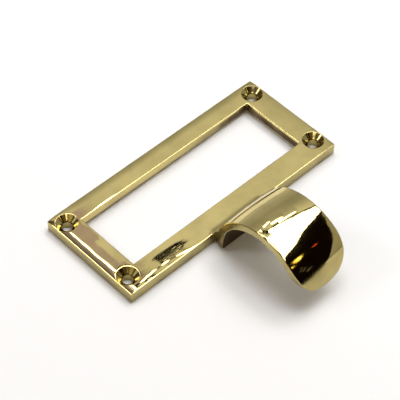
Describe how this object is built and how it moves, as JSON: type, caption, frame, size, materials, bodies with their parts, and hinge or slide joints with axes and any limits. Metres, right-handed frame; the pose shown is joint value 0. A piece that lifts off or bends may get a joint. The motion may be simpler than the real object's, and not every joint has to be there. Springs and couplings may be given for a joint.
{
  "type": "label frame pull",
  "caption": "Cast brass card frame with an open window, a recess behind it for a label card, countersunk screw holes, and a tall arched finger pull springing from its lower edge.",
  "frame": {"origin": "on the flat back plane, at the centre of the window and of the four screw holes", "axes": "+X along the frame's length, +Y towards the top bar, +Z away from the drawer front; the pull arches out towards -Y"},
  "size_m": [0.088, 0.0761, 0.0216],
  "materials": {
    "brass": "polished by hand over a cast surface, unlacquered"
  },
  "bodies": {
    "root": {"label_frame_pull": "brass"}
  },
  "joints": []
}
